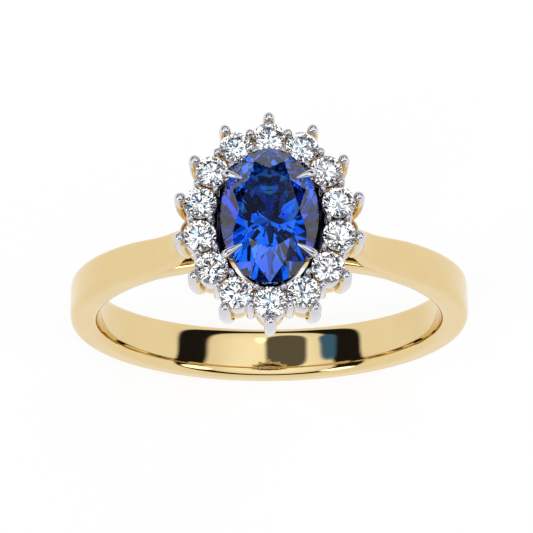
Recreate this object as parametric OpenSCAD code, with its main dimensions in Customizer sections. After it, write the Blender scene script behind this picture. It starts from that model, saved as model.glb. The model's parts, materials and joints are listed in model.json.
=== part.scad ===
// Oval cluster engagement ring: a tapered finger hoop whose cathedral shoulders rise to a
// claw-set head. An oval blue stone stands above a halo of round brilliants in their own cups.
// Origin on the finger axis at mid width, +Y along the finger, +Z up through the head.

/* [Finger hoop] */
// Diameter of the finger bore
finger_d = 17; // [15:0.25:21]
// Width of the band at the sole
sole_w = 2.8; // [2.2:0.1:3.6]
// Width of the bridge that passes under the head
bridge_w = 1.6; // [1.3:0.1:1.8]
// Thickness of the band at the sole and the sides
band_t = 1.4; // [1.1:0.05:1.8]
// Thickness of the bridge under the head
bridge_t = 0.95; // [0.75:0.05:1.1]

/* [Shoulders] */
// Thickness of each shoulder
shoulder_t = 0.75; // [0.6:0.05:0.85]
// How far the crest of the band stands above its edges
dome_h = 0.35; // [0.2:0.05:0.5]
// Wall left around the pocket in each shoulder tip
tip_rim = 0.12; // [0.08:0.01:0.2]
// Depth of the pocket in each shoulder tip
tip_pocket_depth = 0.9; // [0.5:0.1:1.2]

/* [Centre stone] */
// Width of the oval stone at its girdle
stone_w = 4.2; // [3.4:0.1:5.4]
// Length of the oval stone at its girdle
stone_l = 6.1; // [5:0.1:7.4]
// Height of its crown above the girdle
stone_crown_h = 0.75; // [0.5:0.05:0.9]
// Thickness of its girdle
stone_girdle_t = 0.12; // [0.1:0.01:0.2]
// Depth of its pavilion below the girdle
stone_pavilion_h = 1.95; // [1.6:0.05:2.2]
// Height of its girdle above the girdles of the halo stones
stone_rise = 0.44; // [0.42:0.02:0.7]

/* [Halo] */
// Space in plan between the oval stone and the halo stones beside it
halo_side_gap = 0.25; // [0.2:0.01:0.4]
// Space in plan between the oval stone and the halo stones at its ends
halo_end_gap = 0; // [-0.02:0.01:0.1]
// Space between neighbouring halo stones
halo_gap = 0.12; // [0.1:0.01:0.2]
// Height of each halo cup from the gallery to the stone seat
cup_h = 1.42; // [1.2:0.02:1.7]
// How much each cup narrows from its rim to its foot
cup_taper = 0.13; // [0.05:0.01:0.2]
// Ledge that each halo stone rests on, measured inward from its girdle
seat_ledge = 0.22; // [0.15:0.01:0.3]

/* [Halo claws] */
// Radius of the large outer claws
claw_r = 0.26; // [0.2:0.01:0.28]
// Radius of the bead on each large outer claw
claw_bead_r = 0.235; // [0.18:0.005:0.25]
// Distance from the girdle edge of a halo stone to the axis of its large claw
claw_reach = 0.175; // [0.16:0.005:0.22]
// Radius of the shared outer claws
shared_r = 0.175; // [0.14:0.005:0.19]
// Distance of the shared outer claws outward from the line of stones
shared_out = 0.39; // [0.36:0.01:0.44]
// Radius of the shared inner claws
inner_r = 0.15; // [0.12:0.005:0.16]
// Distance of the shared inner claws inward from the line of stones
inner_in = 0.465; // [0.44:0.005:0.5]
// Height of the bead centres above the girdles of the halo stones
bead_rise = 0.24; // [0.2:0.01:0.3]
// Radius of the inward sweep of the large claws
claw_sweep_r = 3.2; // [2.6:0.1:4]
// Angle of the inward sweep of the large claws
claw_sweep_angle = 28; // [20:1:30]

/* [Centre claws] */
// Position of the claws around the oval, from its long axis
grip_angle = 55; // [50:1:60]
// Radius of the claw stems
grip_r = 0.18; // [0.15:0.01:0.2]
// Height of the bend in the claws above the girdle
grip_bend_h = 0.22; // [0.2:0.01:0.26]
// Length of the pointed tips over the crown
grip_tip_l = 0.83; // [0.6:0.01:0.9]
// Width of each claw where it bends
grip_head_w = 0.36; // [0.3:0.01:0.4]
// Width of each claw at its tip
grip_point_w = 0.11; // [0.08:0.01:0.14]
// Metal above the bend
grip_bend_t = 0.17; // [0.14:0.01:0.2]
// Metal over the crown at the tip
grip_point_t = 0.07; // [0.05:0.01:0.1]

/* [Gallery and basket] */
// Open height between the bridge and the gallery
gallery_lift = 1.45; // [1.2:0.05:1.8]
// Thickness of the gallery plate and of the lower rail
gallery_t = 0.5; // [0.4:0.05:0.6]
// Reach of the gallery outward from the line of stones
gallery_out = 0.2; // [0.15:0.01:0.25]
// Reach of the gallery inward from the line of stones
gallery_in = 1; // [0.94:0.01:1.04]
// Radius of the light holes under the halo stones
light_hole_r = 0.3; // [0.2:0.01:0.34]
// Height of the saddle that stands on the bridge
saddle_h = 0.7; // [0.5:0.05:0.9]
// Length of the saddle along the finger, to the middle of its wall
saddle_l = 2.7; // [2.4:0.1:3]
// Width of the saddle across the finger, to the middle of its wall
saddle_across = 2.4; // [2.1:0.1:2.6]
// Wall of the saddle
saddle_w = 0.42; // [0.36:0.02:0.46]
// Size of the lower basket rail against the centre stone
rail_share = 0.85; // [0.83:0.01:0.87]
// Width of the lower basket rail
rail_w = 0.4; // [0.34:0.02:0.44]
// Size of the seat rail against the centre stone
seat_share = 0.95; // [0.93:0.01:0.97]
// Width of the seat rail
seat_w = 0.34; // [0.3:0.02:0.4]
// Height of the seat rail
seat_t = 0.32; // [0.26:0.02:0.36]
// Depth of the seat rail's underside below the girdle of the centre stone
seat_depth = 0.72; // [0.66:0.02:0.8]
// Radius of the wires that tie the gallery to the basket
strut_r = 0.17; // [0.12:0.01:0.2]

/* [Hidden] */
HALO = ["01", "02", "03", "04", "05", "06", "07", "08", "09", "10", "11", "12", "13", "14"];
CORNERS = ["front_left", "front_right", "back_right", "back_left"];

$fn = 48;
fine = 180;     // facets of the large round faces
halo_count = len(HALO);
fit = 0.02;     // clearance between parts that pass each other
over = 0.3;     // how far a cutting shape runs past what it cuts

// Finger hoop
finger_r = finger_d / 2;
crest_r = finger_r + band_t;
bridge_top = finger_r + bridge_t;
dome_r = (pow(sole_w / 2, 2) + dome_h * dome_h) / (2 * dome_h);

// Proportions of a brilliant, as shares of its girdle radius
brilliant_table = 0.58;
brilliant_star = 0.8;
brilliant_lower = 0.22;
brilliant_crown = 0.3;
brilliant_girdle = 0.07;
brilliant_pavilion = 0.86;
oval_table = 0.6;
facet_fold = 8;
fold_step = 360 / facet_fold;
half_step = fold_step / 2;

// Halo: an oval line of evenly spaced stones, sized to fill it. The chords from stone to stone
// add up to line_share times the sum of the line's semi-axes
clear_a = stone_w / 2 + halo_side_gap;
clear_b = stone_l / 2 + halo_end_gap;
oval_excess = 1 + pow((clear_b - clear_a) / (clear_a + clear_b), 2) / 6;
chord_share = sin(180 / halo_count) * halo_count / 180 * 180 / PI;
line_share = PI * oval_excess * chord_share;
halo_r = (line_share * (clear_a + clear_b) - halo_count * halo_gap)
    / (2 * halo_count - 2 * line_share);
halo_a = clear_a + halo_r;
halo_b = clear_b + halo_r;
cup_r = halo_r + halo_gap / 2 - fit;
cup_foot_r = cup_r - cup_taper;
even_shift = (halo_b * halo_b - halo_a * halo_a) / (halo_a * halo_a + halo_b * halo_b) / 4;

// Heights, from the bridge upwards
gallery_z = bridge_top + gallery_lift;
cup_z = gallery_z + gallery_t;
halo_girdle_z = cup_z + cup_h;                              // underside of the halo girdles
stone_z = halo_girdle_z + stone_rise;                       // underside of the oval girdle
bead_z = halo_girdle_z + bead_rise;
saddle_z = bridge_top + saddle_h;

// Claws
claw_x = halo_r + claw_reach;
claw_bend_depth = 0.7;                                      // below the girdles of the halo stones
bend_z = halo_girdle_z - claw_bend_depth;
shared_foot_z = cup_z + fit + shared_r;
grip_top_z = stone_z + grip_bend_h;

// Gallery ovals
gallery_a = halo_a + gallery_out;
gallery_b = halo_b + gallery_out;
window_a = halo_a - gallery_in;
window_b = halo_b - gallery_in;
oval_points = 72;
rail_a = rail_share * stone_w / 2;
rail_b = rail_share * stone_l / 2;
seat_z = stone_z - seat_depth;
seat_a = seat_share * stone_w / 2;
seat_b = seat_share * stone_l / 2;
saddle_a = saddle_across / 2;
saddle_b = saddle_l / 2;

// Place of halo stone k on the oval line, clockwise from the back centre
function halo_turn(k) = k * 360 / halo_count + even_shift * sin(2 * k * 360 / halo_count) * 180 / PI;
function halo_at(k) = [halo_a * sin(halo_turn(k)), halo_b * cos(halo_turn(k))];
function halo_facing(k) = atan2(cos(halo_turn(k)) / halo_b, sin(halo_turn(k)) / halo_a);
function between(k) = (halo_at(k) + halo_at(k + 1)) / 2;
function between_facing(k) =
    let (d = halo_at(k + 1) - halo_at(k))
    atan2(d[0], -d[1]);

// Shoulder tip: stands between the feet of the large claws either side of it
side_k = (halo_count - 2) / 4;
claw_foot_x = claw_x - claw_sweep_r * (1 - cos(claw_sweep_angle));
claw_foot_y = halo_at(side_k)[1] + claw_foot_x * sin(halo_facing(side_k));
tip_half_w = claw_foot_y - claw_r - fit;
tip_pocket_r = tip_half_w - tip_rim;
tip_x = gallery_a + fit;
tip_crest_x = tip_x + tip_half_w;
tip_z = cup_z - 2 * fit;
claw_low_z = bend_z - claw_sweep_r * sin(claw_sweep_angle) - claw_r;

// Shoulder arc: sinks a little into the crest of the hoop and stands upright at the tip
shoulder_sink = 0.05;
shoulder_overlap = 3;       // degrees by which hoop and shoulder run into each other
sunk_r = crest_r - shoulder_sink;
shoulder_arc_r = (tip_crest_x * tip_crest_x + tip_z * tip_z - sunk_r * sunk_r)
    / (2 * (sunk_r - tip_crest_x));
shoulder_arc_x = tip_crest_x + shoulder_arc_r;
leave_angle = atan2(tip_z, shoulder_arc_x);

// Facet corners of a brilliant. p is [table, crown height, girdle height, pavilion depth]
function star_z(p) = p[1] * (1 - brilliant_star * cos(half_step)) / (1 - p[0]);
function lower_z(p) = p[3] * (1 - brilliant_lower * cos(half_step));
function scallop(a) =
    let (q = half_step / 2, w = a - half_step * floor(a / half_step))
    (cos(w - q) - cos(q)) / cos(q);
function polar(r, a, z) = [r * sin(a), r * cos(a), z];
function brilliant_corners(p, cuts) =
    let (m = 2 * cuts * facet_fold, arc = 360 / m)
    concat(
        [for (k = [0 : facet_fold - 1]) polar(p[0], k * fold_step, p[2] + p[1])],
        [for (k = [0 : facet_fold - 1]) polar(brilliant_star, (k + 0.5) * fold_step, p[2] + star_z(p))],
        [for (j = [0 : m - 1])
            polar(1, j * arc, p[2] - star_z(p) * scallop(j * arc) / (1 - brilliant_star))],
        [for (j = [0 : m - 1])
            polar(1, j * arc, lower_z(p) * scallop(j * arc) / (1 - brilliant_lower))],
        [for (k = [0 : facet_fold - 1]) polar(brilliant_lower, (k + 0.5) * fold_step, -lower_z(p))],
        [[0, 0, -p[3]]]
    );
function brilliant_facets(cuts) =
    let (
        n = facet_fold,
        m = 2 * cuts * n,
        top = 2 * n,
        low = top + m,
        pav = low + m,
        culet = pav + n
    )
    concat(
        [[for (k = [0 : n - 1]) k]],
        [for (k = [0 : n - 1]) [k, n + k, (k + 1) % n]],
        [for (k = [0 : n - 1]) [k, n + (k + n - 1) % n, top + 2 * cuts * k, n + k]],
        [for (k = [0 : n - 1], h = [0, 1])
            concat([n + k], [for (j = [0 : cuts]) top + (2 * cuts * k + cuts * h + j) % m])],
        [for (j = [0 : m - 1]) [top + j, low + j, low + (j + 1) % m, top + (j + 1) % m]],
        [for (k = [0 : n - 1], h = [0, 1])
            concat([pav + k], [for (j = [cuts : -1 : 0]) low + (2 * cuts * k + cuts * h + j) % m])],
        [for (k = [0 : n - 1]) [culet, pav + k, low + 2 * cuts * k, pav + (k + n - 1) % n]]
    );

module brilliant(rx, ry, rz, p, cuts) {
    corners = [for (c = brilliant_corners(p, cuts)) [c[0] * rx, c[1] * ry, c[2] * rz]];
    polyhedron(points = corners, faces = brilliant_facets(cuts), convexity = 2);
}

halo_cut = [brilliant_table, brilliant_crown, brilliant_girdle, brilliant_pavilion];
oval_cut = [
    oval_table,
    stone_crown_h / (stone_w / 2),
    stone_girdle_t / (stone_w / 2),
    stone_pavilion_h / (stone_w / 2)
];

module oval_stone() {
    translate([0, 0, stone_z])
        brilliant(stone_w / 2, stone_l / 2, stone_w / 2, oval_cut, 4);
}

// Solid of revolution that encloses a halo stone, for the notches that hold it
module halo_stone_space() {
    rotate_extrude()
        polygon([
            [0, -halo_cut[3] * halo_r],
            [brilliant_lower * halo_r, -lower_z(halo_cut) * halo_r],
            [halo_r, 0],
            [halo_r, halo_cut[2] * halo_r],
            [brilliant_star * halo_r, (halo_cut[2] + star_z(halo_cut)) * halo_r],
            [halo_cut[0] * halo_r, (halo_cut[2] + halo_cut[1]) * halo_r],
            [0, (halo_cut[2] + halo_cut[1]) * halo_r]
        ]);
}

module at_halo(k) {
    translate([halo_at(k)[0], halo_at(k)[1], 0]) rotate(halo_facing(k)) children();
}

module at_gap(k, out) {
    translate([between(k)[0], between(k)[1], 0]) rotate(between_facing(k))
        translate([out, 0, 0]) children();
}

// Everything of halo position k that a claw beside it must give way to
module halo_keepout(k) {
    at_halo(k) {
        translate([0, 0, cup_z]) cylinder(h = cup_h, r1 = cup_foot_r, r2 = cup_r);
        translate([0, 0, halo_girdle_z]) halo_stone_space();
    }
}

// Oval outline with semi-axes a and b
module oval(a, b) {
    polygon([for (i = [0 : oval_points - 1])
        [a * cos(360 * i / oval_points), b * sin(360 * i / oval_points)]]);
}

// Upright oval wall, w wide inward from semi-axes a and b
module oval_wall(a, b, w, t) {
    linear_extrude(height = t)
        difference() {
            oval(a, b);
            oval(a - w, b - w);
        }
}

// Turns a profile about an axis along Y, from angle a on through angle s in the XZ plane
module turned(a, s) {
    rotate([90, 0, 0]) rotate(a) rotate_extrude(angle = s, $fn = fine) children();
}

// Hoop from one shoulder round the sole to the other, its crest domed
module hoop() {
    turned(180 - leave_angle - shoulder_overlap, 180 + 2 * leave_angle + 2 * shoulder_overlap)
        intersection() {
            translate([finger_r - over, -sole_w]) square([band_t + over, 2 * sole_w]);
            translate([crest_r - dome_r, 0]) circle(r = dome_r, $fn = fine);
        }
}

// Bridge of the hoop under the head
module bridge() {
    turned(leave_angle, 180 - 2 * leave_angle)
        translate([finger_r - over, -bridge_w]) square([bridge_t + over, 2 * bridge_w]);
}

// Shoulder that bows up from the hoop to its upright tip
module right_shoulder() {
    translate([shoulder_arc_x, 0, tip_z])
        turned(180, leave_angle)
            intersection() {
                translate([shoulder_arc_r, -sole_w]) square([shoulder_t, 2 * sole_w]);
                translate([shoulder_arc_r + dome_r, 0]) circle(r = dome_r, $fn = fine);
            }
}

// Cuts the back of the right shoulder's tip half round, fading out a little way down
module tip_rounding() {
    flare = 0.7;        // growth of the rounding's radius for each millimetre down
    translate([tip_x, 0, tip_z - tip_half_w])
        difference() {
            translate([0, -sole_w / 2, 0]) cube([sole_w, sole_w, tip_half_w + over / 2]);
            translate([0, 0, -over])
                cylinder(
                    h = tip_half_w + 2 * over,
                    r1 = tip_half_w + flare * (tip_half_w + over),
                    r2 = tip_half_w - flare * over
                );
        }
}

// Sides of the shank seen along X: tapered from the sole to the bridge and on to the feet of the
// large claws, upright between them
module side_taper() {
    edge = [[sole_w, -crest_r], [bridge_w, bridge_top], [2 * tip_half_w, claw_low_z]];
    reach = 2 * crest_r;
    rotate([90, 0, 90])
        linear_extrude(height = reach, center = true)
            polygon(concat(
                [[edge[0][0] / 2, -crest_r - over]],
                [for (e = edge) [e[0] / 2, e[1]]],
                [[tip_half_w, tip_z + over], [-tip_half_w, tip_z + over]],
                [for (i = [2 : -1 : 0]) [-edge[i][0] / 2, edge[i][1]]],
                [[-edge[0][0] / 2, -crest_r - over]]
            ));
}

module shank() {
    color([0.9, 0.78, 0.5])
        difference() {
            intersection() {
                union() {
                    hoop();
                    bridge();
                    right_shoulder();
                    mirror([1, 0, 0]) right_shoulder();
                }
                side_taper();
            }
            rotate([90, 0, 0])
                cylinder(h = sole_w + 2 * over, r = finger_r, center = true, $fn = fine);
            translate([0, 0, bridge_top]) linear_extrude(height = tip_z + over - bridge_top)
                oval(gallery_a + fit, gallery_b + fit);
            tip_rounding();
            mirror([1, 0, 0]) tip_rounding();
            for (side = [-1, 1])
                translate([side * tip_x, 0, tip_z - tip_pocket_depth])
                    cylinder(h = tip_pocket_depth + over, r = tip_pocket_r);
        }
}

// Oval plate under the cups, pierced below every halo stone
module gallery_plate() {
    color([0.9, 0.78, 0.5])
        difference() {
            translate([0, 0, gallery_z])
                oval_wall(gallery_a, gallery_b, gallery_out + gallery_in, gallery_t);
            for (k = [0 : halo_count - 1])
                at_halo(k) translate([0, 0, gallery_z - over])
                    cylinder(h = gallery_t + 2 * over, r = light_hole_r);
        }
}

module lower_rail_ring() {
    translate([0, 0, gallery_z]) oval_wall(rail_a, rail_b, rail_w, gallery_t);
}

// Wires between the gallery plate and the lower rail, at both ends and both sides
module gallery_struts() {
    from_x = rail_a - rail_w / 2;
    from_y = rail_b - rail_w / 2;
    color([0.9, 0.78, 0.5])
        difference() {
            translate([0, 0, gallery_z + gallery_t / 2])
                for (side = [-1, 1]) {
                    translate([side * from_x, 0, 0]) rotate([0, side * 90, 0])
                        cylinder(h = window_a + fit - from_x, r = strut_r);
                    translate([0, side * from_y, 0]) rotate([-side * 90, 0, 0])
                        cylinder(h = window_b + fit - from_y, r = strut_r);
                }
            gallery_plate();
            lower_rail_ring();
        }
}

// Oval collar that straddles the bridge and carries the basket
module head_saddle() {
    color([0.9, 0.78, 0.5])
        difference() {
            translate([0, 0, bridge_top - saddle_h])
                oval_wall(saddle_a + saddle_w / 2, saddle_b + saddle_w / 2, saddle_w, 2 * saddle_h);
            rotate([90, 0, 0])
                cylinder(h = 2 * saddle_l, r = bridge_top, center = true, $fn = fine);
        }
}

// Foot and bend of the centre claw at the back right; the other three mirror it
grip_lean = [sin(grip_angle) / stone_w, cos(grip_angle) / stone_l, 0];
grip_normal = grip_lean / norm(grip_lean);
grip_foot = [saddle_a * sin(grip_angle), saddle_b * cos(grip_angle), saddle_z];
grip_at = [stone_w / 2 * sin(grip_angle), stone_l / 2 * cos(grip_angle), stone_z];
grip_top = [grip_at[0], grip_at[1], grip_top_z] + grip_r * grip_normal;
grip_reach = grip_at[0] * grip_normal[0] + grip_at[1] * grip_normal[1];
crown_slope = stone_crown_h / (1 - oval_table) / grip_reach;
pavilion_slope = stone_pavilion_h / grip_reach;

// Turns a shape made for the back right into the quarter [sx, sy]
module in_quarter(s) {
    mirror([s[0] < 0 ? 1 : 0, 0, 0]) mirror([0, s[1] < 0 ? 1 : 0, 0]) children();
}

// Straight round wire of radius r from a to b
module wire(a, b, r) {
    d = b - a;
    translate(a) rotate([0, acos(d[2] / norm(d)), atan2(d[1], d[0])])
        cylinder(h = norm(d), r = r);
}

// Stem of the back right claw, cut off flat on the saddle
module grip_stem() {
    run = (grip_top - grip_foot) / norm(grip_top - grip_foot);
    difference() {
        wire(grip_foot - over * run, grip_top, grip_r);
        translate([0, 0, saddle_z - 2 * over]) cylinder(h = 2 * over, r = stone_w);
    }
}

// Places a shape at the girdle under the back right claw, X outward
module at_grip() {
    translate(grip_at) rotate(atan2(grip_normal[1], grip_normal[0])) children();
}

// Notch in a centre claw: flat faces that touch the crown, girdle and pavilion of the stone
module stone_notch() {
    depth = grip_tip_l + 2 * grip_r;
    at_grip() rotate([90, 0, 0])
        linear_extrude(height = 2 * grip_head_w + 2 * over, center = true)
            polygon([
                [fit, -fit],
                [fit, stone_girdle_t + fit],
                [-depth, stone_girdle_t + depth * crown_slope],
                [-depth, -depth * pavilion_slope - fit]
            ]);
}

// Tapered head of a centre claw, bent over onto the crown
module claw_head() {
    back_x = 2 * grip_r;
    point_x = grip_r - grip_tip_l;
    bend_h = grip_top_z - stone_z;
    point_h = stone_girdle_t - point_x * crown_slope;
    at_grip()
        intersection() {
            rotate([90, 0, 0])
                linear_extrude(height = 2 * grip_head_w, center = true)
                    polygon([
                        [back_x, -over],
                        [back_x, bend_h - fit],
                        [grip_r, bend_h + grip_bend_t],
                        [point_x, point_h + grip_point_t],
                        [point_x, point_h - fit],
                        [fit, 0],
                        [fit, -over]
                    ]);
            translate([0, 0, -2 * over])
                linear_extrude(height = 2 * stone_crown_h)
                    polygon([
                        [back_x + over, -grip_head_w / 2],
                        [back_x + over, grip_head_w / 2],
                        [0, grip_head_w / 2],
                        [point_x - fit, grip_point_w / 2],
                        [point_x - fit, -grip_point_w / 2],
                        [0, -grip_head_w / 2]
                    ]);
        }
}

module centre_claw(s) {
    color([0.84, 0.84, 0.87])
        in_quarter(s) difference() {
            union() {
                grip_stem();
                claw_head();
            }
            stone_notch();
        }
}

module all_grips() {
    for (sx = [-1, 1], sy = [-1, 1])
        in_quarter([sx, sy]) grip_stem();
}

// Lower oval rail of the basket, notched round the claw stems
module basket_lower_rail() {
    color([0.9, 0.78, 0.5])
        difference() {
            lower_rail_ring();
            all_grips();
        }
}

// Oval bearer that the pavilion of the centre stone rests in
module basket_seat_rail() {
    color([0.84, 0.84, 0.87])
        difference() {
            translate([0, 0, seat_z]) oval_wall(seat_a, seat_b, seat_w, seat_t);
            all_grips();
            oval_stone();
        }
}

module centre_sapphire() {
    color([0.05, 0.12, 0.7]) oval_stone();
}

// Round cup with a slanting ledge inside its rim
module halo_cup(k) {
    seat_drop = seat_ledge * lower_z(halo_cut) / (1 - brilliant_lower);
    color([0.84, 0.84, 0.87])
        at_halo(k) translate([0, 0, cup_z])
            rotate_extrude()
                polygon([
                    [halo_r - seat_ledge, 0],
                    [cup_foot_r, 0],
                    [cup_r, cup_h],
                    [halo_r, cup_h],
                    [halo_r - seat_ledge, cup_h - seat_drop]
                ]);
}

module halo_diamond(k) {
    color([0.93, 0.95, 0.97])
        at_halo(k) translate([0, 0, halo_girdle_z]) rotate(90)
            brilliant(halo_r, halo_r, halo_r, halo_cut, 2);
}

// Upright claw of radius r from z to just below its bead
module claw_stem(r, bead_r, z) {
    chamfer = r - bead_r + fit;
    translate([0, 0, z]) cylinder(h = bead_z - chamfer - z, r = r);
    translate([0, 0, bead_z - chamfer]) cylinder(h = chamfer, r1 = r, r2 = bead_r);
    translate([0, 0, bead_z]) sphere(r = bead_r);
}

// Large claw outside halo stone k: an upright head on a stem that sweeps in to the gallery
module outer_claw(k) {
    color([0.84, 0.84, 0.87])
        difference() {
            at_halo(k) {
                translate([claw_x, 0, 0]) claw_stem(claw_r, claw_bead_r, bend_z);
                translate([claw_x - claw_sweep_r, 0, bend_z]) {
                    rotate([-90, 0, 0]) rotate_extrude(angle = claw_sweep_angle, $fn = fine)
                        translate([claw_sweep_r, 0]) circle(r = claw_r);
                    rotate([0, claw_sweep_angle, 0]) translate([claw_sweep_r, 0, 0])
                        sphere(r = claw_r);
                }
            }
            halo_keepout(k);
            translate([0, 0, gallery_z]) linear_extrude(height = gallery_t)
                oval(gallery_a, gallery_b);
        }
}

// Claws between neighbouring halo stones, outside their line
module shared_outer_claws() {
    color([0.84, 0.84, 0.87])
        for (k = [0 : halo_count - 1])
            difference() {
                at_gap(k, shared_out) {
                    claw_stem(shared_r, shared_r - fit / 2, shared_foot_z);
                    translate([0, 0, shared_foot_z]) sphere(r = shared_r);
                }
                halo_keepout(k);
                halo_keepout(k + 1);
            }
}

// Claws between neighbouring halo stones, inside their line
module shared_inner_claws() {
    color([0.84, 0.84, 0.87])
        for (k = [0 : halo_count - 1])
            difference() {
                at_gap(k, -inner_in) claw_stem(inner_r, inner_r - fit / 2, cup_z);
                halo_keepout(k);
                halo_keepout(k + 1);
            }
}

shank();
gallery_plate();
gallery_struts();
head_saddle();
basket_lower_rail();
basket_seat_rail();
centre_sapphire();
centre_claw([-1, -1]);  // centre_claw_front_left
centre_claw([1, -1]);  // centre_claw_front_right
centre_claw([1, 1]);  // centre_claw_back_right
centre_claw([-1, 1]);  // centre_claw_back_left
for (k = [0 : halo_count - 1]) {
    halo_cup(k);
    halo_diamond(k);
    outer_claw(k);
}
shared_outer_claws();
shared_inner_claws();
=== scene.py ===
import json
import math

import bpy
import numpy as np
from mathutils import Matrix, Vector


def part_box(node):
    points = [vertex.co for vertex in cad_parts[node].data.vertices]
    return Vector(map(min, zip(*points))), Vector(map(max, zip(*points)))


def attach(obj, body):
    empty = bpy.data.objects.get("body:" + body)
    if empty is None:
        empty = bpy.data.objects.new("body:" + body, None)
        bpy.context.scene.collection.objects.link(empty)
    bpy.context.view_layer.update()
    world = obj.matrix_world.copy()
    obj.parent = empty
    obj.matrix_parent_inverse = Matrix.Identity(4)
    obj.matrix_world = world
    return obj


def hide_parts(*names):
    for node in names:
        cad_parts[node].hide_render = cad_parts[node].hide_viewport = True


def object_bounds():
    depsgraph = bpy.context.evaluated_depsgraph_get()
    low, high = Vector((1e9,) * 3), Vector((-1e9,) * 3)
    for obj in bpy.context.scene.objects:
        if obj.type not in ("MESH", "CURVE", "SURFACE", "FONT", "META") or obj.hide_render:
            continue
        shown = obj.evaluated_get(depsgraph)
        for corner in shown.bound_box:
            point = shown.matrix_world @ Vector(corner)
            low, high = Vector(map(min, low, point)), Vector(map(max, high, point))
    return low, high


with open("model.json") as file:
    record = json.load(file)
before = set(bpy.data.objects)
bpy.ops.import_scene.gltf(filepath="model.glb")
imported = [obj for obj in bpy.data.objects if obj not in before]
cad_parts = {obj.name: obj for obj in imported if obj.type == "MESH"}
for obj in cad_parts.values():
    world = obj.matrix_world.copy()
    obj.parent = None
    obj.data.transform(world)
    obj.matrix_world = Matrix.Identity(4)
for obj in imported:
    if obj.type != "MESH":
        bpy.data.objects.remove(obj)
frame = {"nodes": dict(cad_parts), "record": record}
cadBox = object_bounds()
nodes = frame["nodes"]
mm = 0.001

# Every size below is in millimetres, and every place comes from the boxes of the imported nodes.


def boxOf(node):
    # lowest and highest corner of a node, in millimetres
    low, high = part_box(node)
    return np.array(low) / mm, np.array(high) / mm


def middleOf(node):
    # centre of a node's box
    low, high = boxOf(node)
    return (low + high) / 2


def ramp(x, start, end):
    # 0 before start, 1 after end, and a smooth S of 3t2 - 2t3 between them
    t = np.clip((x - start) / (end - start), 0, 1)
    return t * t * (3 - 2 * t)


def unit(v):
    # the same directions with length 1
    return v / np.linalg.norm(v, axis=-1, keepdims=True)


def squared(turn, power):
    # A circle pushed toward a square: radius (|cos|^n + |sin|^n)^(-1/n) at each angle, n = 2 / power
    c, s = np.cos(turn), np.sin(turn)
    n = 2 / power
    radius = (np.abs(c) ** n + np.abs(s) ** n) ** (-1 / n)
    return radius * c, radius * s


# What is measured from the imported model
haloCount = 14
haloNames = [f"{k + 1:02d}" for k in range(haloCount)]
fingerR = frame["record"]["mounts"][0]["dims"]["r_mm"]
shankHigh = boxOf("shank")[1]
stoneHigh = boxOf("centre_sapphire")[1]
galleryLow, galleryHigh = boxOf("gallery_plate")
saddleHigh = boxOf("head_saddle")[1]
strutLow, strutHigh = boxOf("gallery_struts")
haloAt = np.array([middleOf("halo_diamond_" + n) for n in haloNames])
haloR = (boxOf("halo_diamond_01")[1][0] - boxOf("halo_diamond_01")[0][0]) / 2
cupLow, cupHigh = boxOf("halo_cup_01")
# half-axes of the oval that the stones stand on: b is the first stone's place on the long axis,
# and a follows from a stone at the side, by a = x / root(1 - (y / b)2)
sideAt = haloAt[3]
haloB = haloAt[0, 1]
haloA = sideAt[0] / math.sqrt(1 - (sideAt[1] / haloB) ** 2)
# the oval's outward direction at each stone, from its gradient (x / a2, y / b2)
haloOut = unit(np.stack([haloAt[:, 0] / haloA**2, haloAt[:, 1] / haloB**2, np.zeros(haloCount)], axis=1))
print("measured the frame: halo", round(haloA, 2), round(haloB, 2), "stone radius", round(haloR, 3))


def gridShell(rings, loop=False, caps="poles"):
    # A skin over rings[i, j]: j runs round each ring, i along the piece. The ends are closed by a
    # point at the mean of the last ring or by strips across it, or the last ring joins the first.
    count, around = rings.shape[:2]
    points = rings.reshape(-1, 3)
    i, j = np.meshgrid(np.arange(count if loop else count - 1), np.arange(around), indexing="ij")
    here, further = i * around, (i + 1) % count * around
    after = (j + 1) % around
    quads = np.stack([here + j, here + after, further + after, further + j], axis=-1).reshape(-1, 4)
    triangles = np.zeros((0, 3), int)
    lastRing = (count - 1) * around
    if not loop and caps == "poles":
        ring = np.arange(around)
        after = (ring + 1) % around
        first = np.full(around, len(points))
        points = np.concatenate([points, rings[:1].mean(axis=1), rings[-1:].mean(axis=1)])
        triangles = np.concatenate([
            np.stack([first, after, ring], axis=1),
            np.stack([first + 1, lastRing + ring, lastRing + after], axis=1)])
    if not loop and caps == "strips":
        quads = np.concatenate([quads, stripAcross(around, 0)[:, ::-1], stripAcross(around, lastRing)])
    return points, quads, triangles


def stripAcross(around, start):
    # Quads over the end of a ring whose second half faces its first half, point by point
    ring = np.arange(around // 2 - 1)
    return start + np.stack([ring, ring + 1, around - 2 - ring, around - 1 - ring], axis=1)


def makePiece(name, shells, material, replaced):
    # Joins shells into one smooth mesh at the origin, parents it to the root body and hides the nodes it
    # replaces
    starts = np.cumsum([0] + [len(points) for points, quads, triangles in shells])
    points = np.concatenate([shell[0] for shell in shells])
    quads = np.concatenate([shell[1] + start for shell, start in zip(shells, starts)])
    triangles = np.concatenate([shell[2] + start for shell, start in zip(shells, starts)])
    mesh = bpy.data.meshes.new(name)
    mesh.from_pydata((points * mm).tolist(), [], quads.tolist() + triangles.tolist())
    mesh.polygons.foreach_set("use_smooth", np.ones(len(mesh.polygons), bool))
    mesh.materials.append(material)
    mesh.validate()
    mesh.update()
    piece = bpy.data.objects.new(name, mesh)
    bpy.context.scene.collection.objects.link(piece)
    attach(piece, "root")
    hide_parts(*replaced)
    return piece


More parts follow.
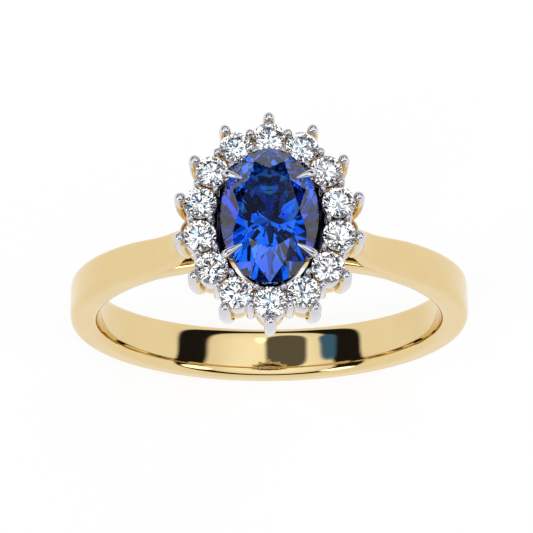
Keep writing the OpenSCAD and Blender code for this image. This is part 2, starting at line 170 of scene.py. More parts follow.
def tubeShell(path, radius, side, around=24):
    # A round wire: circles of the given radius stand square to the path, one axis of each along side
    tangent = unit(np.gradient(path, axis=0))
    across = unit(side - (tangent @ side)[:, None] * tangent)
    normal = np.cross(tangent, across)
    turn = np.linspace(0, 2 * math.pi, around, endpoint=False)
    ring = (np.cos(turn)[None, :, None] * across[:, None]
            + np.sin(turn)[None, :, None] * normal[:, None])
    return gridShell(path[:, None] + radius[:, None, None] * ring)


def latheShell(profile, centre, around, loop=False):
    # Radius and height pairs turned once about a vertical line through centre
    turn = np.linspace(0, 2 * math.pi, around, endpoint=False)
    r, z = profile[:, 0], profile[:, 1]
    rings = np.stack([
        centre[0] + r[:, None] * np.cos(turn),
        centre[1] + r[:, None] * np.sin(turn),
        np.repeat(z[:, None], around, axis=1)], axis=-1)
    return gridShell(rings, loop=loop)


railForm = {"square": 0.4, "along": 192, "around": 32}


def ovalRail(a, b, width, low, high, form=railForm):
    # A rounded bar bent into an oval. Its outer face follows the half-axes a and b, its section is
    # a squared circle between the heights low and high, which may change round the oval.
    along = form["along"]
    turn = np.linspace(0, 2 * math.pi, along, endpoint=False)
    section = np.linspace(0, 2 * math.pi, form["around"], endpoint=False)
    out = unit(np.stack([np.cos(turn) / a, np.sin(turn) / b, 0 * turn], axis=1))
    path = np.stack([a * np.cos(turn), b * np.sin(turn), 0 * turn], axis=1) - out * width / 2
    x, z = squared(section, form["square"])
    low, high = np.broadcast_to(low, along), np.broadcast_to(high, along)
    rings = path[:, None] + x[None, :, None] * out[:, None] * width / 2
    rings[:, :, 2] += (low + high)[:, None] / 2 + z[None] * (high - low)[:, None] / 2
    return gridShell(rings[:, ::-1], loop=True)


class Wire:
    # Wraps an output socket, so that sums and products of values can be written as formulas
    def __init__(self, tree, socket=None):
        self.tree = tree
        self.socket = socket

    def make(self, kind, settings=None, sockets=None, output=0):
        # Adds a node: its settings first, then the value or link of each socket
        node = self.tree.nodes.new(kind)
        for key, value in (settings or {}).items():
            setattr(node, key, value)
        for key, value in (sockets or {}).items():
            if isinstance(value, Wire):
                self.tree.links.new(value.socket, node.inputs[key])
            else:
                node.inputs[key].default_value = value
        return Wire(self.tree, node.outputs[output] if node.outputs else None)

    def maths(self, operation, first, second):
        return self.make("ShaderNodeMath", {"operation": operation}, {0: first, 1: second})

    def __add__(self, other):
        return self.maths("ADD", self, other)

    def __radd__(self, other):
        return self.maths("ADD", other, self)

    def __sub__(self, other):
        return self.maths("SUBTRACT", self, other)

    def __rsub__(self, other):
        return self.maths("SUBTRACT", other, self)

    def __mul__(self, other):
        return self.maths("MULTIPLY", self, other)

    def __rmul__(self, other):
        return self.maths("MULTIPLY", other, self)

    def step(self, start, end):
        # 0 below start, 1 above end, smooth between
        return self.make("ShaderNodeMapRange", {"interpolation_type": "SMOOTHSTEP"},
                         {"Value": self, "From Min": start, "From Max": end})

    def blend(self, first, second):
        # first where this value is 0, second where it is 1; 6, 7 and output 2 are the colour sockets
        return self.make("ShaderNodeMix", {"data_type": "RGBA"}, {0: self, 6: first, 7: second}, output=2)


def newMaterial(name):
    # An empty material and the wire that its nodes are made from
    material = bpy.data.materials.new(name)
    material.use_nodes = True
    material.node_tree.nodes.clear()
    return material, Wire(material.node_tree)


def finishMaterial(wire, sockets):
    # The Principled shader and the output
    shader = wire.make("ShaderNodeBsdfPrincipled", None, sockets)
    wire.make("ShaderNodeOutputMaterial", None, {"Surface": shader})


def polishOf(wire, look):
    # Roughness, normal and a pale mottle that every polished metal shares: cloudy patches from the
    # polishing wheel, and hair-fine marks left by the last pass
    place = wire.make("ShaderNodeTexCoord", output="Object")
    cloud = wire.make("ShaderNodeTexNoise", None,
                      {"Vector": place, "Scale": look["cloudScale"], "Detail": look["cloudDetail"]})
    hair = wire.make("ShaderNodeTexNoise", None,
                     {"Vector": place, "Scale": look["hairScale"], "Detail": look["hairDetail"]})
    mottle = cloud.step(look["cloudFrom"], look["cloudTo"])
    height = cloud * look["cloudHeight"] + hair * look["hairHeight"]
    normal = wire.make("ShaderNodeBump", None,
                       {"Strength": look["bump"], "Distance": look["bumpDepth"] * mm, "Height": height})
    return mottle, look["roughness"] + look["roughnessSpread"] * mottle, normal


metalLook = {
    "yellow": (0.79, 0.615, 0.32, 1),
    "yellowDeep": (0.77, 0.585, 0.29, 1),
    "white": (0.69, 0.675, 0.715, 1),
    "whiteDeep": (0.63, 0.62, 0.67, 1),
    "cloudScale": 420.0,
    "cloudDetail": 3.0,
    "cloudFrom": 0.3,
    "cloudTo": 0.75,
    "hairScale": 5200.0,
    "hairDetail": 2.0,
    "cloudHeight": 0.4,     # shares of the two textures in the surface's height
    "hairHeight": 0.6,
    "roughness": 0.03,
    "roughnessSpread": 0.03,
    "bump": 0.03,
    "bumpDepth": 0.01,
    "topFrom": 0.25,        # how far up a face must look to be plated
    "topTo": 0.4,
    "softness": 0.15,       # width of the plating's edge, as a cosine
    "paintedShadeFrom": 0.3,       # how far a face looks toward the centre before painted shade darkens it
    "paintedShadeTo": 0.5,
    # colour of the painted shade on faces that look toward the centre
    "inner": (0.03, 0.034, 0.06, 1),
}


def polishedMetal(name, colour, deep):
    # One gold alloy, polished like a mirror
    material, wire = newMaterial(name)
    mottle, roughness, normal = polishOf(wire, metalLook)
    finishMaterial(wire, {
        "Base Color": mottle.blend(colour, deep),
        "Metallic": 1.0, "Roughness": roughness, "Normal": normal})
    return material


def twoToneMetalWithPaintedShade(name, outwardFrom, innerShade):
    # Yellow gold under a plating of white metal on what faces up or away from the head's centre.
    # The outward direction at a point is the oval's gradient, and outwardFrom is where plating starts.
    # Faces that look toward the centre are darkened with painted shade, by the share innerShade.
    material, wire = newMaterial(name)
    look = metalLook
    mottle, roughness, normal = polishOf(wire, look)
    place = wire.make("ShaderNodeTexCoord", output="Object")
    gradient = wire.make("ShaderNodeVectorMath", {"operation": "MULTIPLY"},
                         {0: place, 1: (1, (haloA / haloB) ** 2, 0)})
    outward = wire.make("ShaderNodeVectorMath", {"operation": "NORMALIZE"}, {0: gradient})
    facing = wire.make("ShaderNodeNewGeometry", output="Normal")
    toOutside = wire.make("ShaderNodeVectorMath", {"operation": "DOT_PRODUCT"},
                          {0: facing, 1: outward}, output="Value")
    toTop = wire.make("ShaderNodeSeparateXYZ", None, {0: facing}, output="Z")
    plated = wire.maths("MAXIMUM", toOutside.step(outwardFrom, outwardFrom + look["softness"]),
                        toTop.step(look["topFrom"], look["topTo"]))
    yellow = mottle.blend(look["yellow"], look["yellowDeep"])
    white = mottle.blend(look["white"], look["whiteDeep"])
    # painted shade: faces that look toward the centre and not up are darkened toward the inner colour
    level = 1 - toTop.step(look["topFrom"], look["topTo"])
    inward = (-1 * toOutside).step(look["paintedShadeFrom"], look["paintedShadeTo"]) * level * innerShade
    finishMaterial(wire, {
        "Base Color": inward.blend(plated.blend(yellow, white), look["inner"]),
        "Metallic": 1.0, "Roughness": roughness, "Normal": normal})
    return material


def shadedGold(name, look):
    # Yellow gold with painted shade on its inner rim: dark inside the oval where (x/a)2 + (y/b)2 passes
    # from one limit to the other
    material, wire = newMaterial(name)
    mottle, roughness, normal = polishOf(wire, metalLook)
    place = wire.make("ShaderNodeTexCoord", output="Object")
    scaled = wire.make("ShaderNodeVectorMath", {"operation": "MULTIPLY"},
                       {0: place, 1: (1 / (haloA * mm), 1 / (haloB * mm), 0)})
    away = wire.make("ShaderNodeVectorMath", {"operation": "LENGTH"}, {0: scaled}, output="Value")
    gold = mottle.blend(metalLook["yellow"], metalLook["yellowDeep"])
    black = mottle.blend(look["black"], look["blackDeep"])
    finishMaterial(wire, {
        "Base Color": away.step(look["darkTo"], look["darkFrom"]).blend(black, gold),
        "Metallic": 1.0, "Roughness": roughness, "Normal": normal})
    return material


shadeLook = {
    # colours of the painted shade inside the oval of stones
    "black": (0.012, 0.014, 0.03, 1),
    "blackDeep": (0.03, 0.034, 0.06, 1),
    "darkTo": 0.84,         # as shares of the oval line of stones
    "darkFrom": 0.9,
}


def gemMaterial(name, look):
    # Clear cut stone. Its tint changes from facet to facet, by a random number drawn from each
    # facet's own direction, and a little through soft growth zones.
    material, wire = newMaterial(name)
    place = wire.make("ShaderNodeTexCoord", output="Object")
    zone = wire.make("ShaderNodeTexNoise", None,
                     {"Vector": place, "Scale": look["zoneScale"], "Detail": look["zoneDetail"]})
    facing = wire.make("ShaderNodeNewGeometry", output="True Normal")
    snapped = wire.make("ShaderNodeVectorMath", {"operation": "SNAP"}, {0: facing, 1: (look["snap"],) * 3})
    facet = wire.make("ShaderNodeTexWhiteNoise", None, {"Vector": snapped})
    share = zone.step(metalLook["cloudFrom"], metalLook["cloudTo"]) * look["zoneShare"]
    share = share + facet * (1 - look["zoneShare"])
    finishMaterial(wire, {
        "Base Color": share.blend(look["deep"], look["light"]),
        "Transmission Weight": 1.0, "IOR": look["ior"], "Roughness": 0.0})
    return material


sapphireLook = {
    "deep": (0.001, 0.012, 0.42, 1),
    "light": (0.012, 0.19, 0.85, 1),
    "zoneScale": 500.0,
    "zoneDetail": 1.0,
    "zoneShare": 0.3,
    "snap": 0.05,
    "ior": 1.77,
}
diamondLook = {
    "deep": (0.93, 0.95, 0.99, 1),
    "light": (0.97, 0.98, 1.0, 1),
    "zoneScale": 900.0,
    "zoneDetail": 1.0,
    "zoneShare": 0.3,
    "snap": 0.05,
    "ior": 2.42,
}

yellowGold = polishedMetal("yellowGold", metalLook["yellow"], metalLook["yellowDeep"])
whiteGold = polishedMetal("whiteGold", metalLook["white"], metalLook["whiteDeep"])
# Both plated metals carry painted shade on faces toward the centre: a little on the claws, fully on the
# cups
platedClawPaintedShade = twoToneMetalWithPaintedShade("platedClawPaintedShade", 0.1, 0.15)
platedCupPaintedShade = twoToneMetalWithPaintedShade("platedCupPaintedShade", 0.3, 1.0)
# gold with painted shade on its inner rim, inside the oval of stones
paintedShadeGold = shadedGold("paintedShadeGold", shadeLook)
sapphire = gemMaterial("sapphire", sapphireLook)
diamond = gemMaterial("diamond", diamondLook)
print("made the materials")

shankForm = {
    "along": 560,           # stations from one shoulder tip to the other
    "fineness": 8,          # steps of the summing between two stations
    "around": 96,           # points round the section
    "soleT": 1.37,          # thickness under the finger
    "topT": 1.43,           # thickness where the shoulders leave
    "shoulderT": 0.72,      # thickness of a shoulder
    "thinFrom": -0.2,       # where the shoulder thins, measured from the end of the hoop
    "thinTo": 1.9,
    "taper": 0.476,         # how the half-width falls with the height
    "taperMore": 0.108,     # and with its square
    "narrowFrom": 1.5,      # where the band starts to narrow to the tip, before the hoop's end
    "tipHalf": 0.59,        # half-width of a shoulder tip
    "roundFrom": 2.4,       # how far before the tip the section starts to turn half round
    "roundTo": 0.1,
    "rim": 0.12,            # wall round the pocket in the tip
    "pocketFrom": 1.35,     # how far before the tip the pocket starts and reaches its width
    "pocketTo": 0.4,
    "square": 0.42,         # section: 1 is round, 0 is a rectangle
    "easing": 1.1,          # length over which the hoop's curve turns into the shoulder's
    "liftFrom": 2.0,        # length of the hoop's end over which the crest is eased to the tip's height
    "gap": 0.02,            # between the shoulder tips and the gallery
}


def shankLine(form):
    # The crest in the XZ plane. Its bend is 1 / crest radius along the hoop and -1 / arc radius along
    # each shoulder, smoothed over the easing length; summing the bend gives the direction, and
    # summing the direction gives the line. Its end is then eased to the height of the tip.
    crestR, tipZ = shankHigh[0], shankHigh[2]
    tipX = galleryHigh[0] + form["gap"] + form["tipHalf"]
    arcR = (tipX**2 + tipZ**2 - crestR**2) / (2 * (crestR - tipX))
    leave = math.atan2(tipZ, tipX + arcR)
    hoopL = crestR * (math.pi / 2 + leave)
    total = hoopL + arcR * leave
    s = np.linspace(0, total, form["along"] * form["fineness"])
    ds = s[1]
    bend = np.where(s < hoopL, 1 / crestR, -1 / arcR)
    window = int(form["easing"] / ds)
    padded = np.pad(bend, window, mode="edge")
    bend = np.convolve(padded, np.ones(2 * window + 1) / (2 * window + 1), mode="valid")
    angle = np.cumsum(bend) * ds
    x, z = np.cumsum(np.cos(angle)) * ds, -crestR + np.cumsum(np.sin(angle)) * ds
    z = z + (tipZ - z[-1]) * ramp(s, hoopL - form["liftFrom"], total)
    keep = np.linspace(0, len(s) - 1, form["along"] // 2).astype(int)
    return np.stack([x[keep], z[keep]], axis=1), angle[keep], s[keep], hoopL, leave


def shankShell(form):
    # Sections along that line. Outside, half a squared circle of depth d below the crest; inside, the
    # same turned over, until near the tip it hollows into a half-round gutter with a thin rim.
    line, angle, s, hoopL, leave = shankLine(form)
    total = s[-1]
    height = (1 + line[:, 1] / shankHigh[0]) / 2
    half = shankHigh[1] - form["taper"] * height - form["taperMore"] * height**2
    half = half + (form["tipHalf"] - half) * ramp(s, hoopL - form["narrowFrom"], total)
    thick = form["soleT"] + (form["topT"] - form["soleT"]) * np.clip(height, 0, 1)
    hoopT = thick
    thin = ramp(s, hoopL + form["thinFrom"], hoopL + form["thinTo"])
    thick = thick + (form["shoulderT"] - thick) * thin
    tipped = ramp(s, total - form["roundFrom"], total - form["roundTo"])
    depth = thick / 2 + (half - thick / 2) * tipped
    hollow = ramp(s, total - form["pocketFrom"], total - form["pocketTo"])
    innerRise = -(thick - depth) * (1 - hollow) + (half - form["rim"]) * hollow
    innerHalf = half - form["rim"] * hollow
    share = form["around"] // 2
    turn = (np.arange(share)[None] + 0.5) / share * math.pi
    wide, deep = squared(turn, (form["square"] + (1 - form["square"]) * tipped)[:, None])
    innerWide, innerDeep = squared(turn, (form["square"] + (1 - form["square"]) * hollow)[:, None])
    across = np.concatenate([half[:, None] * wide, -innerHalf[:, None] * innerWide], axis=1)
    above = np.concatenate([depth[:, None] * deep, innerRise[:, None] * innerDeep], axis=1)
    # along the hoop the whole section is moved so that its inner face stays on the round bore
    shift = (shankHigh[0] - fingerR - hoopT) * (1 - thin)
    above = above - (depth + shift)[:, None]
    normal = np.stack([np.sin(angle), 0 * angle, -np.cos(angle)], axis=1)
    crest = np.stack([line[:, 0], 0 * angle, line[:, 1]], axis=1)
    right = crest[:, None] + above[:, :, None] * normal[:, None]
    right[:, :, 1] += across
    left = right[:0:-1] * np.array([-1, 1, 1])
    return gridShell(np.concatenate([left, right]), caps="strips")


bridgeForm = {
    "half": 0.815,          # half-width
    "top": 9.45,            # radius of its upper face
    "buried": 7,            # degrees of each end inside the hoop
    "sink": 0.05,           # how far a buried end stands back from the bore
    "square": 0.34,
    "along": 120,
    "around": 64,
}


def bridgeShell(form, leave):
    # A bar bent round the finger under the head: a squared circle carried along an arc, its inner
    # face on the bore and drawn back where an end is buried in the hoop.
    spread = 90 - math.degrees(leave)
    degrees = np.linspace(-spread - form["buried"], spread + form["buried"], form["along"])
    angle = np.radians(degrees)[:, None]
    inner = fingerR + form["sink"] * ramp(np.abs(degrees), spread, spread + form["buried"])[:, None]
    y, lift = squared(np.linspace(0, 2 * math.pi, form["around"], endpoint=False)[None], form["square"])
    radius = inner + (form["top"] - inner) * (lift + 1) / 2
    across = form["half"] * y + 0 * radius
    rings = np.stack([radius * np.sin(angle), across, radius * np.cos(angle)], axis=-1)
    return gridShell(rings[:, ::-1])


makePiece("shankBody", [shankShell(shankForm), bridgeShell(bridgeForm, shankLine(shankForm)[4])],
          yellowGold, ["shank"])
print("made the shank")


galleryForm = {
    "outerW": 0.26,         # width of the outer rail
    "innerW": 0.5,          # width of the inner rail
    "eyeletHole": 0.3,      # light hole under each stone
    "eyeletW": 0.3,         # metal round that hole
    "eyeletInset": 0.03,    # how far the eyelets stand in from the plate's two faces
    "eyeletSection": 24,    # points round an eyelet's section, and round the eyelet
    "eyeletAround": 40,
    "square": 0.4,
    "lap": 0.02,            # how far the struts run into the inner rail
}


def eyeletShell(centre, form):
    # A washer with rounded edges: a squared circle turned round the light hole
    x, z = squared(np.linspace(0, 2 * math.pi, form["eyeletSection"], endpoint=False), form["square"])
    middle, half = form["eyeletHole"] + form["eyeletW"] / 2, form["eyeletW"] / 2
    low, high = galleryLow[2] + form["eyeletInset"], galleryHigh[2] - form["eyeletInset"]
    profile = np.stack([middle + half * x, (low + high) / 2 + (high - low) / 2 * z], axis=1)
    return latheShell(profile[::-1], centre, form["eyeletAround"], loop=True)


def galleryShells(form):
    # Outer rail, inner rail, and an eyelet under each stone between them
    a, b = galleryHigh[0], galleryHigh[1]
    inset = a - (strutHigh[0] - form["lap"]) - form["innerW"]
    return [ovalRail(a, b, form["outerW"], galleryLow[2], galleryHigh[2]),
            ovalRail(a - inset, b - inset, form["innerW"], galleryLow[2], galleryHigh[2]),
            *[eyeletShell(centre, form) for centre in haloAt]]


basketForm = {
    "strutR": 0.17,
    "strutStations": 12,
    "lowerRailW": 0.4,
    "seatRailW": 0.3,
    "saddleW": 0.42,
    "saddleLap": 0.05,      # how far the collar sinks into the bridge
}


def strutShell(start, end, form):
    # A straight wire between two points at the middle height of the struts
    t = np.linspace(0, 1, form["strutStations"])[:, None]
    z = (strutLow[2] + strutHigh[2]) / 2
    path = np.array([*start, z]) * (1 - t) + np.array([*end, z]) * t
    return tubeShell(path, np.full(len(t), form["strutR"]), np.array([0.0, 0.0, 1.0]))


def strutShells(form):
    # Four short wires from the middle of the lower rail out to the gallery's inner rail
    railHigh = boxOf("basket_lower_rail")[1]
    inner, outer = railHigh - form["lowerRailW"] / 2, strutHigh
    return [strutShell((sign * inner[0], 0), (sign * outer[0], 0), form) for sign in (-1, 1)] + [
        strutShell((0, sign * inner[1]), (0, sign * outer[1]), form) for sign in (-1, 1)]


def railShells(node, width):
    # One rail that fills the box of its node
    low, high = boxOf(node)
    return [ovalRail(high[0], high[1], width, low[2], high[2])]


def saddleShells(form):
    # The collar's lower face follows the round top of the bridge: z = root(top2 - x2)
    a, b = saddleHigh[0], saddleHigh[1]
    turn = np.linspace(0, 2 * math.pi, railForm["along"], endpoint=False)
    low = np.sqrt(bridgeForm["top"] ** 2 - (a * np.cos(turn)) ** 2) - form["saddleLap"]
    return [ovalRail(a, b, form["saddleW"], low, saddleHigh[2])]


# The gallery and the two basket rails take gold with painted shade inside the oval of stones
makePiece("galleryOpenwork", galleryShells(galleryForm), paintedShadeGold, ["gallery_plate"])
makePiece("galleryWires", strutShells(basketForm), yellowGold, ["gallery_struts"])
makePiece("saddleCollar", saddleShells(basketForm), yellowGold, ["head_saddle"])
makePiece("lowerBasketRail", railShells("basket_lower_rail", basketForm["lowerRailW"]),
          paintedShadeGold, ["basket_lower_rail"])
makePiece("seatBasketRail", railShells("basket_seat_rail", basketForm["seatRailW"]),
          paintedShadeGold, ["basket_seat_rail"])
print("made the gallery and basket")


gripForm = {
    "angle": 55.0,          # where the claws stand on the oval, from the long way
    "radius": 0.185,
    "point": 0.035,         # radius at the tip
    "tipL": 0.88,           # from the stem's centre to the tip, seen from above
    "foot": 0.21,           # from the outside of the saddle in to the stem's foot
    "shoulder": 0.02,       # height over the girdle where the stem starts to bend over
    "peakRise": 0.32,       # pull of the bend upward and inward
    "peakIn": 0.02,
    "tipRise": 0.6,         # height of the tip as a share of the crown
    "crown": 0.75,          # from the stone's top down to its girdle
    "swell": 0.035,         # how much the claw thickens as it bends
    "fall": 1.5,            # how late the claw thins to its point
    "stemStations": 14,
    "hookStations": 30,
}


def gripShell(form, signX, signY):
    # Straight stem from the saddle to the girdle, then a quadratic curve over onto the crown. The
    # radius swells by a half sine at the bend and falls by a power of the way to the point.
    a, b = stoneHigh[0], stoneHigh[1]
    sine, cosine = math.sin(math.radians(form["angle"])), math.cos(math.radians(form["angle"]))
    out, up = unit(np.array([sine / a, cosine / b, 0.0])), np.array([0, 0, 1.0])
    girdle = np.array([a * sine, b * cosine, stoneHigh[2] - form["crown"]])
    footA, footB = saddleHigh[0] - form["foot"], saddleHigh[1] - form["foot"]
    foot = np.array([footA * sine, footB * cosine, saddleHigh[2]])
    top = girdle + out * form["radius"] + up * form["shoulder"]
    peak = top + up * form["peakRise"] - out * form["peakIn"]
    tip = girdle - out * (form["tipL"] - form["radius"]) + up * form["crown"] * form["tipRise"]
    t = np.linspace(0, 1, form["stemStations"])[:, None]
    stem = foot * (1 - t) + top * t
    t = np.linspace(0, 1, form["hookStations"])[1:, None]
    hook = top * (1 - t) ** 2 + 2 * peak * t * (1 - t) + tip * t**2
    t = t[:, 0]
    thinning = form["radius"] + (form["point"] - form["radius"]) * t ** form["fall"]
    swelling = form["swell"] * np.sin(math.pi * t)
    radius = np.concatenate([np.full(len(stem), form["radius"]), thinning + swelling])
    across = unit(np.array([-out[1] * signY, out[0] * signX, 0.0]))
    path = np.concatenate([stem, hook]) * np.array([signX, signY, 1.0])
    return tubeShell(path, radius, across)


corners = {"front_left": (-1, -1), "front_right": (1, -1), "back_right": (1, 1), "back_left": (-1, 1)}
for corner, (signX, signY) in corners.items():
    makePiece("grip_" + corner, [gripShell(gripForm, signX, signY)],
              whiteGold, ["centre_claw_" + corner])
print("made the centre claws")


cupForm = {
    "taper": 0.13,          # how much the cup narrows to its foot
    "ledge": 0.22,          # width and depth of the seat's slope
    "seat": 0.25,
    "edge": 0.015,          # rounding of the rims
    # where the rounding's corners stand, inward and down from the outer rim, in roundings
    "outerRim": ((0.2, 2), (1, 0.5), (2, 0)),
    # and outward and down from the stone's edge
    "innerRim": ((0.4, 0), (0, 0.6)),
    "around": 72,
}


def cupShell(centre, form):
    # Flared wall with a rounded rim, and inside it the sloping seat, turned about the stone's axis
    low, high, r = cupLow[2], cupHigh[2], cupHigh[0]
    foot, edge = r - form["taper"], form["edge"]
    outerRim = np.array([r, high]) - edge * np.array(form["outerRim"])
    innerRim = np.array([haloR, high]) + edge * np.array(form["innerRim"]) * np.array([1, -1])
    profile = np.concatenate([
        [[haloR - form["ledge"], low], [foot - edge, low], [foot, low + edge]],
        outerRim, innerRim,
        [[haloR - form["ledge"], high - form["seat"]]]])
    return latheShell(profile[::-1], centre, form["around"], loop=True)


beadForm = {"stations": 18, "around": 28}     # heights up a bead, and points round a claw

clawForm = {
    "radius": 0.26,
    "bead": 0.235,
    "beadFrom": -20,        # degrees below the bead's equator where it leaves the stem
    "beadTo": 89,
    "reach": 0.175,         # from the stone's edge to the claw's centre
    "sweepR": 3.2,
    "sweep": 28.0,
    "sweepStations": 22,
    "bend": 0.7,            # from the girdle down to where the sweep begins
    "above": 0.2,           # length of the upright part before its neck
    "neck": 0.5,            # depth of the neck below the bead's centre, in bead radii
    "slope": 0.06,          # height over which the stem draws in to the neck
    "inset": 0.03,          # how much it draws in
    "groove": 0.02,         # depth of the groove under the bead
    "grooveRise": 0.005,    # height over which it opens out to the bead
    "footDegrees": (5, 25, 45, 65),
}


def beadStations(z, bead, start, end):
    # Heights and radii up a ball centred at z, from one angle above its equator to another
    degree = np.radians(np.linspace(start, end, beadForm["stations"]))
    return z + bead * np.sin(degree), bead * np.cos(degree)


def clawShell(k, form):
    # A wire along an arc and then straight up, with a groove and a ball on its end
    out, up = haloOut[k], np.array([0, 0, 1.0])
    base = haloAt[k] * np.array([1, 1, 0]) + out * (haloR + form["reach"])
    bendZ = cupHigh[2] - form["bend"]
    beadZ = boxOf("outer_claw_" + haloNames[k])[1][2] - form["bead"]
    sweep = np.radians(np.linspace(form["sweep"], 0, form["sweepStations"]))
    inward, drop = form["sweepR"] * (1 - np.cos(sweep)), form["sweepR"] * np.sin(sweep)
    ballZ, ballR = beadStations(beadZ, form["bead"], form["beadFrom"], form["beadTo"])
    neck = beadZ - form["bead"] * form["neck"]
    upright = np.array([bendZ + form["above"], neck - form["slope"], neck, ballZ[0] - form["grooveRise"]])
    radii = form["radius"] - np.array([0, 0, form["inset"], form["radius"] - form["bead"] + form["groove"]])
    z = np.concatenate([bendZ - drop, upright, ballZ])
    x = np.concatenate([-inward, np.zeros(len(upright) + len(ballZ))])
    foot = np.radians(np.array(form["footDegrees"]))
    stem = np.full(len(sweep), form["radius"])
    stem[:len(foot)] *= np.sqrt(np.sin(foot))
    path = base + x[:, None] * out + z[:, None] * up
    radius = np.concatenate([stem, radii, ballR])
    return tubeShell(path, radius, np.cross(up, out), beadForm["around"])


sharedForm = {
    "outerR": 0.175,
    "outerAt": 0.39,        # outward from the middle of the gap between two stones
    "innerR": 0.15,
    "innerAt": -0.465,
    "beadSize": 1.04,       # bead against its post
    "beadFrom": -15,
    "beadTo": 89,
    "foot": 0.03,           # rounding of the foot
    "neckFrom": 0.62,       # neck below the bead's centre, in post radii
    "neckTo": 0.36,
    "neckR": 0.9,
}


def postShell(centre, low, radius, beadZ, form):
    # A straight post with a ball top
    ballZ, ballR = beadStations(beadZ, radius * form["beadSize"], form["beadFrom"], form["beadTo"])
    neck = [beadZ - radius * form["neckFrom"], beadZ - radius * form["neckTo"]]
    z = np.concatenate([[low, low + form["foot"]], neck, ballZ])
    r = np.concatenate([[radius - form["foot"], radius, radius, radius * form["neckR"]], ballR])
    return latheShell(np.stack([r, z], axis=1), centre, beadForm["around"])


def sharedShells(node, radius, offset):
    # One post at each gap between two stones, moved out or in from the middle of the gap
    low, high = boxOf(node)
    after = np.roll(haloAt, -1, axis=0)
    chord = after - haloAt
    out = unit(np.stack([-chord[:, 1], chord[:, 0], 0 * chord[:, 0]], axis=1))
    out *= np.sign(np.sum(out * haloAt, axis=1))[:, None]
    centres = (haloAt + after) / 2 + out * offset
    beadZ = high[2] - radius * sharedForm["beadSize"]
    return [postShell(centre, low[2], radius, beadZ, sharedForm) for centre in centres]


# Cups and claws take plated metal with painted shade on their faces toward the centre
for k, name in enumerate(haloNames):
    makePiece("cup_" + name, [cupShell(haloAt[k], cupForm)], platedCupPaintedShade, ["halo_cup_" + name])
    makePiece("claw_" + name, [clawShell(k, clawForm)], platedClawPaintedShade, ["outer_claw_" + name])
outerPosts = sharedShells("shared_outer_claws", sharedForm["outerR"], sharedForm["outerAt"])
innerPosts = sharedShells("shared_inner_claws", sharedForm["innerR"], sharedForm["innerAt"])
makePiece("outerSharedPosts", outerPosts, platedClawPaintedShade, ["shared_outer_claws"])
makePiece("innerSharedPosts", innerPosts, whiteGold, ["shared_inner_claws"])
print("made the halo")


def giveMaterial(node, material):
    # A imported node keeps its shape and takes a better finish
    mesh = nodes[node].data
    mesh.materials.clear()
    mesh.materials.append(material)
    mesh.polygons.foreach_set("use_smooth", np.zeros(len(mesh.polygons), bool))


giveMaterial("centre_sapphire", sapphire)
for name in haloNames:
    giveMaterial("halo_diamond_" + name, diamond)
print("finished the stones")

studio = {
    "floorHalf": 2.0,       # metres
    "floorDrop": 0.02,      # millimetres under the sole
    "floorGlow": 0.82,
    "floorColour": (0.24, 0.24, 0.243, 1),
    "floorRoughness": 0.9,
    "skyWhite": (1.0, 1.0, 1.0, 1),
    "skyCeiling": (1.2, 1.24, 1.3, 1),
    "ceilingFrom": (0.72, 0.96),  # sine of the height where the ceiling light starts
    "skyDark": (0.012, 0.012, 0.014, 1),
    "darkFrom": (0.33, 0.40),   # sine of the heights where the dark wall starts and ends
    "darkTo": (0.66, 0.72),
    # direction, glow and radius in degrees of each card that the polished faces mirror
    "cards": (
        ((-0.656, -0.559, 0.508), (3.2, 3.2, 3.2, 1), 13),
        ((0.76, -0.27, 0.59), (2.2, 2.2, 2.2, 1), 13),
        ((-0.20, 0.30, 0.93), (0.12, 0.12, 0.12, 1), 16),
        ((-0.64, 0.316, 0.70), (0.05, 0.16, 0.42, 1), 8),
        ((0.10, 0.36, 0.93), (2.0, 2.0, 2.0, 1), 5),
    ),
    "cardEdge": 4,              # degrees over which a card fades out
    "spotScale": 3.2,           # size of the bright and dark cards that the stones gather
    "spotFrom": 0.45,
    "spotTo": 0.57,
    "spotWhite": 1.8,
    "spotDark": 0.03,
    "spotShift": 0.006,         # red and blue see the cards a little to either side
}


def makeFloor(form):
    # A flat square just under the sole
    half, z = form["floorHalf"], cadBox[0][2] - form["floorDrop"] * mm
    mesh = bpy.data.meshes.new("floor")
    mesh.from_pydata([(-half, -half, z), (half, -half, z), (half, half, z), (-half, half, z)],
                     [], [(0, 1, 2, 3)])
    material, wire = newMaterial("paleFloor")
    finishMaterial(wire, {
        "Base Color": form["floorColour"], "Roughness": form["floorRoughness"],
        "Specular IOR Level": 0.0,
        "Emission Color": (1, 1, 1, 1), "Emission Strength": form["floorGlow"]})
    mesh.materials.append(material)
    floor = bpy.data.objects.new("floor", mesh)
    bpy.context.scene.collection.objects.link(floor)


def cardLight(wire, way, shift, form):
    # Brightness of the cards in one direction: noise cut hard into light and dark
    moved = wire.make("ShaderNodeVectorMath", {"operation": "ADD"}, {0: way, 1: (shift, shift, shift)})
    noise = wire.make("ShaderNodeTexNoise", None,
                      {"Vector": moved, "Scale": form["spotScale"], "Detail": 0.0})
    lit = noise.step(form["spotFrom"], form["spotTo"])
    return form["spotDark"] + (form["spotWhite"] - form["spotDark"]) * lit


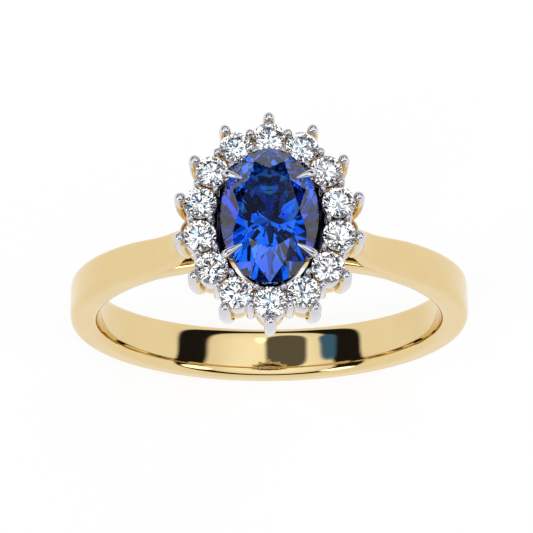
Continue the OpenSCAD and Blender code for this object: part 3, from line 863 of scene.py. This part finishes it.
def makeSky(form):
    # White overhead and near the ground, with a dark wall between, as in a studio with one ceiling
    # light. Light that leaves a stone has met small cards hung close to it, which give it sparkle,
    # and what the camera sees directly stays plain white.
    world = bpy.data.worlds.new("studio")
    world.use_nodes = True
    world.node_tree.nodes.clear()
    wire = Wire(world.node_tree)
    way = wire.make("ShaderNodeTexCoord", output="Generated")
    height = wire.make("ShaderNodeSeparateXYZ", None, {0: way}, output="Z")
    wall = height.step(*form["darkFrom"]) * (1 - height.step(*form["darkTo"]))
    direct = wire.make("ShaderNodeLightPath", output="Is Camera Ray")
    throughStone = wire.make("ShaderNodeLightPath", output="Is Transmission Ray")
    ceiling = height.step(*form["ceilingFrom"]) * (1 - direct)
    walls = (wall * (1 - direct)).blend(form["skyWhite"], form["skyDark"])
    room = ceiling.blend(walls, form["skyCeiling"])
    for toward, glow, radius in form["cards"]:
        middle = tuple(float(v) for v in unit(np.array(toward)))
        near = wire.make("ShaderNodeVectorMath", {"operation": "DOT_PRODUCT"},
                         {0: way, 1: middle}, output="Value")
        edges = math.cos(math.radians(radius)), math.cos(math.radians(radius - form["cardEdge"]))
        lit = near.step(*edges) * (1 - direct)
        room = lit.blend(room, glow)
    shifts = {"Red": -form["spotShift"], "Green": 0.0, "Blue": form["spotShift"]}
    cards = wire.make("ShaderNodeCombineColor", None,
                      {key: cardLight(wire, way, shift, form) for key, shift in shifts.items()})
    colour = throughStone.blend(room, cards)
    background = wire.make("ShaderNodeBackground", None, {"Color": colour, "Strength": 1.0})
    wire.make("ShaderNodeOutputWorld", None, {"Surface": background})
    bpy.context.scene.world = world


cameraForm = {
    "target": (-0.13, 0.0, 6.363),
    "distance": 78.7,
    "elevation": 71.59,
    "azimuth": -0.343,
    "lens": 114.3,
    "sensor": 36.0,
    "clipStart": 0.005,
    "clipEnd": 20.0,
}


def makeCamera(form):
    # Looks at the target from a distance along azimuth and elevation
    up, turn = math.radians(form["elevation"]), math.radians(form["azimuth"])
    back = np.array([math.sin(turn) * math.cos(up), -math.cos(turn) * math.cos(up), math.sin(up)])
    data = bpy.data.cameras.new("camera")
    data.lens, data.sensor_width = form["lens"], form["sensor"]
    data.clip_start, data.clip_end = form["clipStart"], form["clipEnd"]
    camera = bpy.data.objects.new("camera", data)
    camera.location = (np.array(form["target"]) + form["distance"] * back) * mm
    camera.rotation_euler = (math.pi / 2 - up, 0, turn)
    bpy.context.scene.collection.objects.link(camera)
    bpy.context.scene.camera = camera


makeFloor(studio)
makeSky(studio)
makeCamera(cameraForm)
scene = bpy.context.scene
scene.view_settings.view_transform = "Standard"
scene.cycles.max_bounces = 24
scene.cycles.glossy_bounces = 10
scene.cycles.transmission_bounces = 24
scene.cycles.use_denoising = True
print("set the stage")
